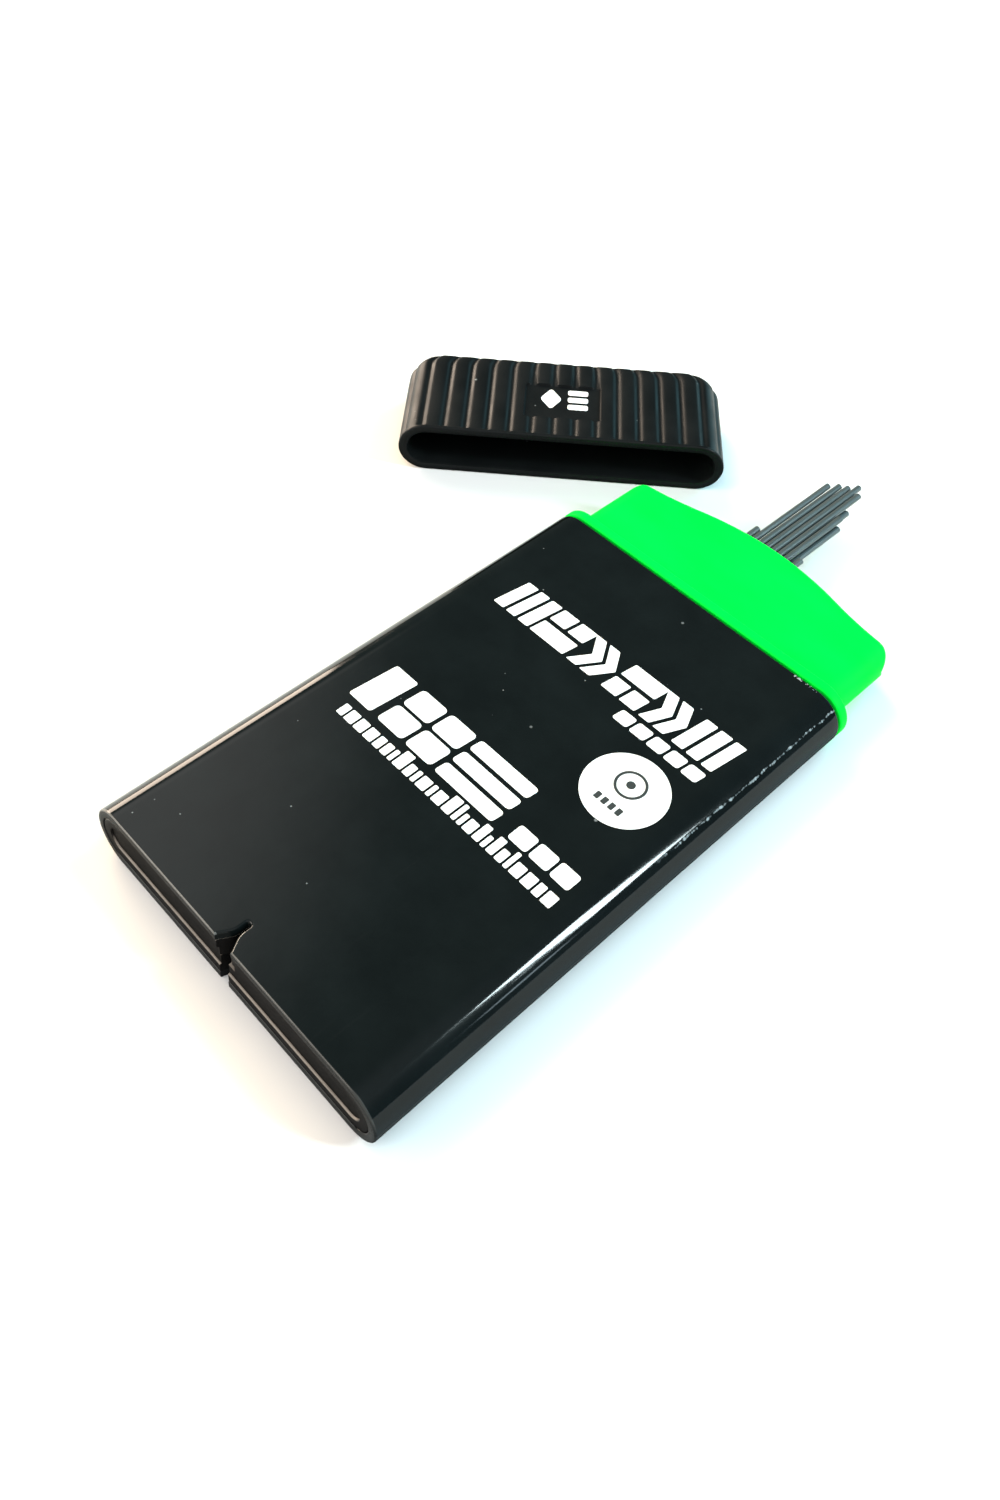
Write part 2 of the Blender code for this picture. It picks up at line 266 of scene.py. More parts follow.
def loft(rings, looped=False, caps=(True, True)):
    """Skin a row of rings into a tube: closed on itself when looped, else capped at its ends."""
    bm = bmesh.new()
    loops = [[bm.verts.new(point) for point in points] for points in rings]
    pairs = list(zip(loops, loops[1:]))
    if looped:
        pairs.append((loops[-1], loops[0]))
    else:
        if caps[0]:
            bm.faces.new(loops[0])
        if caps[1]:
            bm.faces.new(loops[-1])
    for low, high in pairs:
        join_loops(bm, low, high)
    return bm


def fillet(radius, steps=5):
    """(inset, distance from the end) pairs of a rounded edge, from the end face to the side."""
    pairs = []
    for i in range(steps + 1):
        angle = math.pi / 2 * i / steps
        pairs.append((radius * (1 - math.sin(angle)), radius * (1 - math.cos(angle))))
    return pairs


def extrude_plan(outline, z_low, z_high):
    """A prism over an (x, y) outline."""
    return loft([[Vector((x, y, z)) for x, y in outline] for z in (z_low, z_high)])


def object_from(name, bm):
    """A passing object for a Boolean."""
    bmesh.ops.recalc_face_normals(bm, faces=bm.faces)
    mesh = bpy.data.meshes.new(name)
    bm.to_mesh(mesh)
    bm.free()
    item = bpy.data.objects.new(name, mesh)
    bpy.context.scene.collection.objects.link(item)
    return item


def cut(bm, cutter_bm):
    """Subtract one closed bmesh from another and return the result as a bmesh."""
    target = object_from("cut_target", bm)
    cutter = object_from("cut_tool", cutter_bm)
    modifier = target.modifiers.new("cut", "BOOLEAN")
    modifier.operation = "DIFFERENCE"
    modifier.solver = "EXACT"
    modifier.object = cutter
    graph = bpy.context.evaluated_depsgraph_get()
    result = bmesh.new()
    result.from_mesh(target.evaluated_get(graph).to_mesh())
    for item in (target, cutter):
        mesh = item.data
        bpy.data.objects.remove(item)
        bpy.data.meshes.remove(mesh)
    return result


# ---------------------------------------------------------------- materials

def new_material(name):
    material = bpy.data.materials.new(name)
    material.use_nodes = True
    tree = material.node_tree
    return material, tree, tree.nodes["Principled BSDF"]


def add(tree, kind, inputs=None, **settings):
    """Add a node, set its properties, and set or link its inputs."""
    node = tree.nodes.new(kind)
    for key, value in settings.items():
        setattr(node, key, value)
    for key, value in (inputs or {}).items():
        if isinstance(value, bpy.types.NodeSocket):
            tree.links.new(value, node.inputs[key])
        else:
            node.inputs[key].default_value = value
    return node


def place(tree, stretch=(1, 1, 1)):
    """Object coordinates in millimetres, stretched along each axis."""
    coordinates = add(tree, "ShaderNodeTexCoord")
    scale = [s / MM for s in stretch]
    mapping = add(tree, "ShaderNodeMapping", {"Vector": coordinates.outputs["Object"], "Scale": scale})
    return mapping.outputs["Vector"]


def noise(tree, vector, scale, detail=4.0, roughness=0.55):
    inputs = {"Vector": vector, "Scale": scale, "Detail": detail, "Roughness": roughness}
    return add(tree, "ShaderNodeTexNoise", inputs).outputs["Fac"]


def ramp(tree, value, low, high, to_low=0.0, to_high=1.0):
    inputs = {"Value": value, "From Min": low, "From Max": high, "To Min": to_low, "To Max": to_high}
    return add(tree, "ShaderNodeMapRange", inputs).outputs["Result"]


def math_node(tree, operation, a, b=0.0):
    return add(tree, "ShaderNodeMath", {0: a, 1: b}, operation=operation).outputs[0]


def mix_colour(tree, factor, a, b):
    node = add(tree, "ShaderNodeMix", data_type="RGBA")
    for socket, value in ((0, factor), (6, a), (7, b)):
        if isinstance(value, bpy.types.NodeSocket):
            tree.links.new(value, node.inputs[socket])
        else:
            node.inputs[socket].default_value = value
    return node.outputs[2]


def bump(tree, height, strength, distance, normal=None):
    inputs = {"Height": height, "Strength": strength, "Distance": distance}
    if normal:
        inputs["Normal"] = normal
    return add(tree, "ShaderNodeBump", inputs).outputs["Normal"]


def specks(tree, vector, scale, size, share):
    """Sparse round dust specks: cells near their centre, kept in a share of the cells."""
    cells = add(tree, "ShaderNodeTexVoronoi", {"Vector": vector, "Scale": scale, "Randomness": 1.0})
    near = ramp(tree, cells.outputs["Distance"], size, size * 0.35)
    chance = add(tree, "ShaderNodeSeparateColor", {"Color": cells.outputs["Color"]}).outputs[0]
    kept = math_node(tree, "LESS_THAN", chance, share)
    return math_node(tree, "MULTIPLY", near, kept)


def link(tree, output, shader, name):
    tree.links.new(output, shader.inputs[name])


def source(shader, name):
    """The output that feeds a shader's input."""
    return shader.inputs[name].links[0].from_socket


def facing(tree, axis):
    """How far the surface faces along an axis; for Z, 1 on top, 0 on a wall, -1 underneath."""
    normal = add(tree, "ShaderNodeNewGeometry").outputs["Normal"]
    return add(tree, "ShaderNodeSeparateXYZ", {"Vector": normal}).outputs[axis]


def black_plastic(name, base, roughness, grain, specular=0.27, side_specular=0.02):
    """Dark moulded plastic: smudged gloss, hairline scratches, fine grain and a little dust, with
    painted shade: walls and undersides reflect less than faces that look up.
    """
    material, tree, shader = new_material(name)
    where = place(tree)
    smudge = noise(tree, where, 0.16, 5.0, 0.6)
    fine = noise(tree, where, 9.0, 2.0, 0.5)
    hairs = noise(tree, place(tree, (2.5, 0.06, 2.5)), 1.6, 6.0, 0.7)
    hair_mask = ramp(tree, hairs, 0.60, 0.72)
    dust = math_node(
        tree, "MAXIMUM",
        specks(tree, where, 0.22, 0.045, 0.5), specks(tree, where, 0.75, 0.07, 0.12))
    colour = mix_colour(tree, ramp(tree, smudge, 0.35, 0.75), (*base, 1), (*[c * 1.5 for c in base], 1))
    colour = mix_colour(tree, math_node(tree, "MULTIPLY", dust, 0.55), colour, (0.30, 0.32, 0.33, 1))
    link(tree, colour, shader, "Base Color")
    rough = ramp(tree, smudge, 0.3, 0.75, roughness * 0.8, roughness * 1.35)
    rough = math_node(tree, "ADD", rough, math_node(tree, "MULTIPLY", hair_mask, 0.10))
    rough = math_node(tree, "ADD", rough, math_node(tree, "MULTIPLY", dust, 0.4))
    up = facing(tree, "Z")
    rough = math_node(tree, "ADD", rough, ramp(tree, up, 0.15, -0.25, 0.0, 0.55))
    link(tree, rough, shader, "Roughness")
    normal = bump(tree, fine, grain, 0.02 * MM)
    normal = bump(tree, hair_mask, 0.05, 0.004 * MM, normal)
    normal = bump(tree, noise(tree, where, 0.35, 2.0), 0.10, 0.05 * MM, normal)
    link(tree, normal, shader, "Normal")
    # Painted shade: reflection strength follows which way the surface faces, low on walls and
    # undersides, full on top
    link(tree, ramp(tree, up, 0.05, 0.75, side_specular, specular), shader, "Specular IOR Level")
    return material, tree, shader


def plug_plastic():
    """The plug's satin black, with a painted highlight in pale warm grey along the lip that faces up."""
    material, tree, shader = black_plastic("plug_black", (0.003, 0.003, 0.003), 0.30, 0.08)
    # Painted highlight: surfaces of the lip that face up get a pale warm colour, broken up by noise
    lip = ramp(tree, facing(tree, "Z"), 0.25, 0.55)
    highlight_breakup = ramp(tree, noise(tree, place(tree, (0.3, 1.0, 1.0)), 0.9, 4.0, 0.7), 0.2, 0.55, 0.55, 1.0)
    lightened = math_node(tree, "MULTIPLY", lip, highlight_breakup)
    colour = mix_colour(tree, lightened, source(shader, "Base Color"), (0.23, 0.20, 0.17, 1))
    link(tree, colour, shader, "Base Color")
    return material


def multiply(tree, *factors):
    """Product of any number of values."""
    product = factors[0]
    for factor in factors[1:]:
        product = math_node(tree, "MULTIPLY", product, factor)
    return product


def painted_shoulder_streak(tree, x, y):
    """Painted reflection: a broken pale line that wanders along the right shoulder, carrying the lamp's
    streak on towards the mouth.
    """
    wander = noise(tree, place(tree, (0.02, 0.5, 0.02)), 1.0, 3.0)
    centre = ramp(tree, wander, 0.3, 0.7, *STREAK_X)
    offset = math_node(tree, "ABSOLUTE", math_node(tree, "SUBTRACT", x, centre))
    broken = ramp(tree, noise(tree, place(tree, (0.4, 1.6, 0.4)), 1.0, 5.0, 0.7), 0.42, 0.60)
    width = ramp(tree, broken, 0.0, 1.0, *STREAK_WIDTH)
    line = ramp(tree, math_node(tree, "DIVIDE", offset, width), 1.0, 0.5)
    return multiply(tree, line, ramp(tree, y, *STREAK_START_Y), broken)


def chipped_rim(tree, x, y):
    """Flecks on the rim near the right end of the mouth."""
    rim = math_node(tree, "GREATER_THAN", y, MOUTH_Y - CHIP_DEPTH)
    near = math_node(tree, "COMPARE", x, CHIP_X)
    near.node.inputs[2].default_value = CHIP_REACH
    flecks = math_node(tree, "GREATER_THAN", noise(tree, place(tree), 1.6, 3.0), 0.5)
    return multiply(tree, rim, near, flecks)


def painted_edge_highlights(tree, x, y, on_front):
    """Painted highlight on the rounded front edge of the bottom end, fading to the right, and on the
    notch's right shoulder.
    """
    up = facing(tree, "Z")
    rounded = multiply(tree, ramp(tree, up, 0.15, 0.5), ramp(tree, up, 0.985, 0.93))
    at_end = multiply(tree, math_node(tree, "LESS_THAN", y, BOTTOM_Y + EDGE_HIGHLIGHT_DEPTH), on_front)
    near_end = math_node(tree, "LESS_THAN", y, BOTTOM_Y + NOTCH_HIGHLIGHT_DEPTH)
    near_middle = math_node(tree, "LESS_THAN", math_node(tree, "ABSOLUTE", x), NOTCH_HIGHLIGHT_REACH)
    in_notch = multiply(tree, near_end, near_middle, ramp(tree, facing(tree, "X"), -0.05, -0.25))
    where = math_node(tree, "MAXIMUM", at_end, in_notch)
    return multiply(tree, rounded, where, ramp(tree, x, *EDGE_HIGHLIGHT_FADE, 1.0, 0.25))


def gloss_black():
    """The sleeve's black, with a painted reflection streak on its right shoulder, a chipped rim and a
    painted highlight on its end edges.
    """
    material, tree, shader = black_plastic("gloss_black", (0.0035, 0.0050, 0.0052), 0.075, 0.03)
    position = add(tree, "ShaderNodeTexCoord").outputs["Object"]
    split = add(tree, "ShaderNodeSeparateXYZ", {"Vector": position})
    x, y = split.outputs["X"], split.outputs["Y"]
    on_front = math_node(tree, "GREATER_THAN", split.outputs["Z"], MID_Z)
    # Painted reflection streak on the right shoulder joined with real chips on the rim, on the front
    # half only: both are made lighter and rougher
    marks = math_node(tree, "MAXIMUM", painted_shoulder_streak(tree, x, y), chipped_rim(tree, x, y))
    lightened = multiply(tree, marks, on_front)
    colour = mix_colour(tree, lightened, source(shader, "Base Color"), (0.25, 0.28, 0.29, 1))
    # Painted highlight: pale grey on the rounded end edge and on the notch's right shoulder
    colour = mix_colour(tree, painted_edge_highlights(tree, x, y, on_front), colour, (0.13, 0.128, 0.122, 1))
    link(tree, colour, shader, "Base Color")
    rough = math_node(tree, "ADD", source(shader, "Roughness"), multiply(tree, lightened, 0.25))
    link(tree, rough, shader, "Roughness")
    return material


def green_plastic():
    """Bright green moulding: even, slightly soft gloss, faint flow marks and handling marks."""
    material, tree, shader = new_material("green")
    where = place(tree)
    flow = noise(tree, place(tree, (0.35, 1.0, 0.35)), 0.22, 4.0, 0.6)
    fine = noise(tree, where, 7.0, 3.0, 0.6)
    colour = mix_colour(tree, ramp(tree, flow, 0.3, 0.7), (0.0, 0.80, 0.040, 1), (0.0, 0.88, 0.052, 1))
    scuff = ramp(tree, noise(tree, place(tree, (0.3, 3.0, 3.0)), 1.2, 6.0, 0.75), 0.64, 0.74)
    colour = mix_colour(tree, math_node(tree, "MULTIPLY", scuff, 0.35), colour, (0.02, 0.62, 0.10, 1))
    link(tree, colour, shader, "Base Color")
    link(tree, ramp(tree, flow, 0.3, 0.7, 0.40, 0.52), shader, "Roughness")
    shader.inputs["Specular IOR Level"].default_value = 0.03
    normal = bump(tree, fine, 0.10, 0.02 * MM)
    link(tree, bump(tree, scuff, 0.15, 0.01 * MM, normal), shader, "Normal")
    return material


def graphite():
    """Drawn graphite: metallic sheen in lengthwise streaks over a grey-blue body."""
    material, tree, shader = new_material("graphite")
    streaks = noise(tree, place(tree, (9.0, 0.05, 9.0)), 1.0, 5.0, 0.7)
    grain = noise(tree, place(tree), 14.0, 3.0, 0.6)
    streaked = ramp(tree, streaks, 0.3, 0.7)
    colour = mix_colour(tree, streaked, (0.065, 0.082, 0.084, 1), (0.17, 0.20, 0.205, 1))
    link(tree, colour, shader, "Base Color")
    shader.inputs["Metallic"].default_value = 0.60
    rough = ramp(tree, streaks, 0.25, 0.75, 0.36, 0.24)
    rough = math_node(tree, "ADD", rough, ramp(tree, grain, 0.4, 0.8, 0.0, 0.10))
    link(tree, rough, shader, "Roughness")
    normal = bump(tree, streaks, 0.18, 0.015 * MM)
    link(tree, bump(tree, grain, 0.20, 0.012 * MM, normal), shader, "Normal")
    return material


def ink(name, base):
    """Screen-printed ink: slightly uneven cover, satin, with pinholes and a soft grain."""
    material, tree, shader = new_material(name)
    where = place(tree)
    cover = noise(tree, where, 2.2, 5.0, 0.65)
    holes = specks(tree, where, 1.6, 0.16, 0.10)
    darker = (*[c * 0.86 for c in base], 1)
    colour = mix_colour(tree, ramp(tree, cover, 0.35, 0.7), darker, (*base, 1))
    colour = mix_colour(tree, math_node(tree, "MULTIPLY", holes, 0.5), colour, (0.12, 0.13, 0.13, 1))
    link(tree, colour, shader, "Base Color")
    link(tree, ramp(tree, cover, 0.3, 0.7, 0.5, 0.36), shader, "Roughness")
    link(tree, bump(tree, cover, 0.15, 0.01 * MM), shader, "Normal")
    return material


# ---------------------------------------------------------------- sleeve and plug

def notch_outline(grow=0.0):
    """Flared notch and slit in plan, with rounded shoulders and a rounded slit end."""
    outside = BOTTOM_Y - OVERCUT
    root = BOTTOM_Y + NOTCH_DEPTH
    end = BOTTOM_Y + SLIT_DEPTH + grow
    mouth = NOTCH_MOUTH / 2 + grow
    slit = SLIT_WIDTH / 2 + grow
    right = [(slit, end), (slit, root), (mouth, BOTTOM_Y), (mouth, outside)]
    return rounded_outline([(-x, y) for x, y in reversed(right)] + right, NOTCH_ROUND, 6)


def back_notch_outline():
    """The narrower notch in the back wall, with rounded shoulders."""
    outside = BOTTOM_Y - OVERCUT
    root = BOTTOM_Y + BACK_NOTCH_DEPTH
    foot = BACK_NOTCH_LEFT - BACK_NOTCH_FLARE
    left, right = BACK_NOTCH_TAPER
    corners = [(foot, outside), (foot, BOTTOM_Y), (BACK_NOTCH_LEFT + left, root)]
    corners += [(BACK_NOTCH_RIGHT - right, root), (BACK_NOTCH_RIGHT, BOTTOM_Y)]
    corners += [(BACK_NOTCH_RIGHT, outside)]
    return rounded_outline(corners, BACK_NOTCH_ROUND, 6)


def cut_notch(bm):
    """Cut the front notch and slit, which widen into a rounded edge, and the narrow back notch."""
    levels = [(0.0, MID_Z)]
    levels += [(grow, SLEEVE_HIGH.z - away) for grow, away in reversed(fillet(NOTCH_EDGE))]
    levels.append((NOTCH_EDGE, SLEEVE_HIGH.z + OVERCUT))
    front = loft([[Vector((x, y, z)) for x, y in notch_outline(grow)] for grow, z in levels])
    bm = cut(bm, front)
    return cut(bm, extrude_plan(back_notch_outline(), SLEEVE_LOW.z - OVERCUT, MID_Z))


def build_sleeve(material):
    path = [(SLEEVE_WALL - inset, BOTTOM_Y + away) for inset, away in reversed(fillet(INNER_EDGE, 3))]
    path += [(inset, BOTTOM_Y + away) for inset, away in fillet(END_EDGE)]
    path += [(0.0, BOTTOM_Y + SLIT_DEPTH + 1.0 * MM), (0.0, MOUTH_Y - 1.0 * MM)]
    path += [(inset, MOUTH_Y - away) for inset, away in reversed(fillet(END_EDGE))]
    path += [(SLEEVE_WALL - inset, MOUTH_Y - away) for inset, away in fillet(INNER_EDGE, 3)]
    rings = [ring(HALF_X - inset, HALF_Z - inset, y) for inset, y in path]
    bm = cut_notch(loft(rings, looped=True))
    return finish_piece("sleeve_shell", bm, "case", material, ["sleeve"])


def build_plug(material):
    """The plug's rim, flush with the end, and the smooth dish inside it."""
    half_x = HALF_X - SLEEVE_WALL - PLUG_GAP
    half_z = HALF_Z - SLEEVE_WALL - PLUG_GAP
    face_y = BOTTOM_Y + PLUG_RECESS
    depth = PLUG_HIGH.y - PLUG_LOW.y
    floor = PLUG_RIM + PLUG_DISH
    path = [(floor + inset, face_y + PLUG_DISH) for inset in PLUG_FLOOR_STEPS]
    path += [(floor - inset, face_y + away) for inset, away in reversed(fillet(PLUG_DISH, 8))]
    path += [(inset, face_y + away) for inset, away in fillet(PLUG_FACE_EDGE, 3)]
    path += [(0.0, face_y + depth), (0.9 * MM, face_y + depth), (1.0 * MM, face_y + PLUG_BACK)]
    rings = [ring(half_x - inset, half_z - inset, y) for inset, y in path]
    bm = cut_notch(loft(rings))
    return finish_piece("plug_face", bm, "case", material, ["bottom_plug"])


# ---------------------------------------------------------------- neck insert

def plan_drop(x):
    """How far the neck's outline lies under its highest point: a crown, then flatter shoulders."""
    crown = min(abs(x), CROWN_REACH)
    drop = CROWN_RADIUS - math.sqrt(CROWN_RADIUS**2 - crown**2)
    slope = CROWN_REACH / math.sqrt(CROWN_RADIUS**2 - CROWN_REACH**2)
    past = abs(x) - crown
    length = NECK_HALF_X - NECK_CORNER - CROWN_REACH
    return drop + slope * past - (slope - SHOULDER_SLOPE) * past**2 / (2 * length)


def plan_top(x):
    """Height of the neck's outline above x, with the corner rounded into the straight side."""
    lean = math.atan(SHOULDER_SLOPE)
    touch_x = NECK_HALF_X - NECK_CORNER + NECK_CORNER * math.sin(lean)
    if abs(x) <= touch_x:
        return INSERT_HIGH.y - plan_drop(x)
    centre_y = INSERT_HIGH.y - plan_drop(touch_x) - NECK_CORNER * math.cos(lean)
    run = min(abs(x) - (NECK_HALF_X - NECK_CORNER), NECK_CORNER)
    return centre_y + math.sqrt(NECK_CORNER**2 - run * run)


def blend_rings(low, high, share, y):
    """Points a share of the way between two rings, placed at y."""
    return [Vector((a.x + (b.x - a.x) * share, y, a.z + (b.z - a.z) * share)) for a, b in zip(low, high)]


def flange_rings():
    """The flange on the sleeve's rim, with rounded edges."""
    rings = [ring(HALF_X - FLANGE_LAP, HALF_Z - FLANGE_LAP, FLANGE_Y)]
    for inset, away in fillet(FLANGE_EDGE):
        rings.append(ring(HALF_X - inset, HALF_Z - inset, FLANGE_Y + away))
    for inset, away in reversed(fillet(FLANGE_EDGE)):
        rings.append(ring(HALF_X - inset, HALF_Z - inset, FLANGE_TOP - away))
    return rings


def neck_rings():
    """From the flange in to the neck, up its sides and over the rounded edge of its arch."""
    flange = ring(HALF_X, HALF_Z, 0)
    neck = ring(NECK_HALF_X, NECK_HALF_Z, 0)
    edge_share = FLANGE_EDGE / (HALF_Z - NECK_HALF_Z)
    rings = []
    for i in range(1, FOOT_STEPS + 1):
        angle = math.pi / 2 * i / FOOT_STEPS
        share = edge_share + (1 - edge_share) * math.sin(angle)
        rings.append(blend_rings(flange, neck, share, FLANGE_TOP + NECK_FOOT * (1 - math.cos(angle))))
    arch_foot = plan_top(NECK_HALF_X) - NECK_EDGE
    for y in (FLANGE_TOP + 4 * MM, arch_foot - 1.0 * MM):
        rings.append([Vector((p.x, y, p.z)) for p in neck])
    for inset, away in reversed(fillet(NECK_EDGE, 7)):
        section = ring(NECK_HALF_X - inset, NECK_HALF_Z - inset, 0)
        rings.append([Vector((p.x, plan_top(q.x) - away, p.z)) for p, q in zip(section, neck)])
    return rings


def channel_rings():
    """Across the arched top to the mouth, then down the channel that the leads lie in."""
    inner = ring(NECK_HALF_X - NECK_EDGE, NECK_HALF_Z - NECK_EDGE, 0)
    mouth = ring(CHANNEL_HALF_X + MOUTH_FLARE, CHANNEL_HALF_Z - MOUTH_LIP, 0, CHANNEL_CORNER)
    channel = ring(CHANNEL_HALF_X, CHANNEL_HALF_Z - MOUTH_EDGE, 0, CHANNEL_CORNER)
    rings = []
    for i in range(1, MOUTH_STEPS + 1):
        points = blend_rings(inner, mouth, i / MOUTH_STEPS, 0)
        rings.append([Vector((p.x, plan_top(p.x), p.z)) for p in points])
    rings.append([Vector((p.x, plan_top(p.x) - MOUTH_EDGE, p.z)) for p in channel])
    for y in (FLANGE_TOP, INSERT_LOW.y + CHANNEL_FLOOR):
        rings.append([Vector((p.x, y, p.z)) for p in channel])
    return rings


def build_insert(material):
    """Flange, neck with an arched top, and the channel down its middle, in one skin."""
    bm = loft(flange_rings() + neck_rings() + channel_rings(), caps=(False, True))
    return finish_piece("insert_neck", bm, "case", material, ["neck_insert"])


def build_magazine(material):
    """The part of the insert that is hidden in the sleeve: skirt and lead magazine."""
    skirt_x, skirt_z = HALF_X - SLEEVE_WALL - SKIRT_GAP, HALF_Z - SLEEVE_WALL - SKIRT_GAP
    hollow_x, hollow_z = skirt_x - SKIRT_HOLLOW_X, skirt_z - SKIRT_HOLLOW_Z
    foot = FLANGE_Y - SKIRT_DEPTH
    end_x, end_z = MAGAZINE_HALF_X - MAGAZINE_TAPER, MAGAZINE_HALF_Z - MAGAZINE_TAPER
    rings = [ring(end_x, end_z, INSERT_LOW.y, MAGAZINE_TAPER)]
    for y in (INSERT_LOW.y + 0.4 * MM, foot + 2.0 * MM):
        rings.append(ring(MAGAZINE_HALF_X, MAGAZINE_HALF_Z, y, MAGAZINE_CORNER))
    for y in (foot + 2.4 * MM, foot):
        rings.append(ring(hollow_x, hollow_z, y))
    rings.append(ring(skirt_x - 0.2 * MM, skirt_z - 0.1 * MM, foot))
    for y in (foot + SKIRT_LIP, FLANGE_Y + 0.2 * MM):
        rings.append(ring(skirt_x, skirt_z, y))
    return finish_piece("insert_magazine", loft(rings), "case", material)


# ---------------------------------------------------------------- cap

def cap_frame():
    """Matrix from the cap's own axes (across, along, up) to the row frame, and its size."""
    hinge = next(joint for joint in frame["joints"] if joint["name"] == "cap_swing")
    turn = math.radians(hinge["range_deg"][1])
    across = Vector((math.cos(turn), math.sin(turn), 0))
    along = Vector((-math.sin(turn), math.cos(turn), 0))
    points = [v.co for v in frame["nodes"]["cap"].data.vertices]
    side = [p.dot(across) for p in points]
    run = [p.dot(along) for p in points]
    origin = across * ((min(side) + max(side)) / 2) + along * min(run)
    size = Vector((max(side) - min(side), max(run) - min(run), max(p.z for p in points)))
    return Matrix.Translation(origin) @ Matrix.Rotation(turn, 4, "Z"), size


CAP_MATRIX, CAP_SIZE = cap_frame()


def rib_height(phase):
    """Share of full height across one rib: a nearly flat crown, steep flanks and a narrow valley."""
    away = abs((phase + 0.5) % 1.0 - 0.5)
    if away < CROWN_SHARE:
        return 1.0 - CROWN_SAG * (away / CROWN_SHARE) ** 2
    fall = min(1.0, (away - CROWN_SHARE) / FLANK_SHARE)
    return (1.0 - CROWN_SAG) * (1.0 - fall * fall * (3 - 2 * fall))


def cap_ring(half_x, half_z, y, ribbed, panel=False):
    """Points round the cap, centred on its hollow; ribbed says how much of the rib depth applies."""
    radius = half_z
    flat = 2 * (half_x - radius)
    arc = math.pi * radius
    total = 2 * (flat + arc)
    points = []
    for step in range(RIBS * RIB_POINTS):
        phase = step / RIB_POINTS
        drop = RIB_DEPTH * ribbed * (1 - rib_height(phase))
        run = (total * phase / RIBS + flat / 2) % total
        side = 1 if run < flat + arc else -1
        run %= flat + arc
        if run < flat:
            x, z, nx, nz = flat / 2 - run, radius, 0.0, 1.0
        else:
            angle = (run - flat) / radius
            nx, nz = -math.sin(angle), math.cos(angle)
            x, z = -flat / 2 + radius * nx, radius * nz
        if panel and side > 0 and nx == 0.0 and PANEL_ACROSS[0] < x < PANEL_ACROSS[1]:
            drop = PANEL_DEPTH
        points.append(Vector((side * (x - nx * drop), y, half_z + side * (z - nz * drop))))
    return points


def end_drop(left, radius):
    """How far a rounded end has drawn in, with this much length left."""
    return 0.0 if left >= radius else radius - math.sqrt(radius**2 - (radius - left) ** 2)


def cap_hollow(y, dx=0.0, dz=0.0):
    """Ring of the cap's hollow, dx and dz narrower than its straight walls."""
    reach_x = CAP_SIZE.x / 2 - CAP_SIDE_WALL - dx
    reach_z = CAP_SIZE.z / 2 - CAP_WALL - dz
    lift = Vector((0, 0, CAP_SIZE.z / 2 - reach_z))
    return [p + lift for p in cap_ring(reach_x, reach_z, y, 0.0)]


def cap_skin(y, ribbed=0.0, panel=False, inset=0.0):
    """Ring of the cap's outside, drawn in towards its rounded closed end."""
    left = CAP_SIZE.y - y
    dx = end_drop(left, CAP_SIDE_RADIUS) + inset
    dz = end_drop(left, CAP_FACE_RADIUS) + inset
    lift = Vector((0, 0, dz))
    return [p + lift for p in cap_ring(CAP_SIZE.x / 2 - dx, CAP_SIZE.z / 2 - dz, y, ribbed, panel)]


def build_cap(material):
    """Cup in one skin: up the hollow, round the rim, along the ribs and over the closed end."""
    depth = CAP_SIZE.y - CAP_END_WALL
    rings = [cap_hollow(depth, 0.8 * MM, 0.5 * MM), cap_hollow(depth - 0.7 * MM, 0.1 * MM, 0.06 * MM)]
    rings += [cap_hollow(0.5 * MM), cap_hollow(0.05 * MM, -0.12 * MM, -0.12 * MM)]
    rings += [cap_hollow(0.0, -0.20 * MM, -0.20 * MM), cap_skin(0.0, inset=0.22 * MM)]
    rings += [cap_skin(0.07 * MM, inset=0.07 * MM), cap_skin(0.2 * MM), cap_skin(CAP_BAND)]
    rings += [cap_skin(CAP_BAND + 0.12 * MM, 0.75), cap_skin(CAP_BAND + 0.3 * MM, 1.0)]
    low, high = PANEL_ALONG
    rings += [cap_skin(low, 1.0), cap_skin(low + PANEL_EDGE, 1.0, panel=True)]
    rings += [cap_skin(high - PANEL_EDGE, 1.0, panel=True), cap_skin(high, 1.0)]
    for share in END_SHARES:
        rings.append(cap_skin(CAP_SIZE.y - CAP_SIDE_RADIUS * share, min(1.0, RIB_FADE * share)))
    half_z = CAP_SIZE.z / 2
    rings.append([Vector((p.x * 0.97, p.y, half_z + (p.z - half_z) * 0.8)) for p in rings[-1]])
    bm = loft(rings)
    for vert in bm.verts:
        vert.co = CAP_MATRIX @ vert.co
    return finish_piece("cap_shell", bm, "cap", material, ["cap"])


# ---------------------------------------------------------------- leads

def lead_rings(low, high, chance):
    """Rings of one rod that leans a little and is chipped at its tip."""
    radius = (high.x - low.x) / 2
    centre = (low + high) / 2
    lean = Vector((chance.uniform(-1, 1), 0, chance.uniform(-1, 1))) * LEAD_LEAN
    tilt = chance.uniform(0.0, LEAD_CHIP)
    turn = chance.uniform(0, TAU)
    rows = [(low.y + away, share) for away, share in LEAD_FOOT]
    rows += [(centre.y, 1.0)] + [(high.y - away, share) for away, share in LEAD_TIP]
    rings = []
    for row, (y, share) in enumerate(rows):
        chipped = row >= CHIPPED_ROW
        move = lean * max(0.0, (y - centre.y) / (high.y - centre.y))
        points = []
        for i in range(LEAD_SIDES):
            angle = TAU * i / LEAD_SIDES
            reach = radius * share
            back = 0.0
            if chipped:
                reach *= 1 - LEAD_ROUGHNESS * chance.random()
                back = tilt * radius * (1 + math.cos(angle - turn))
            offset = Vector((reach * math.cos(angle), y - centre.y - back, reach * math.sin(angle)))
            points.append(centre + offset + move)
        rings.append(points)
    return rings


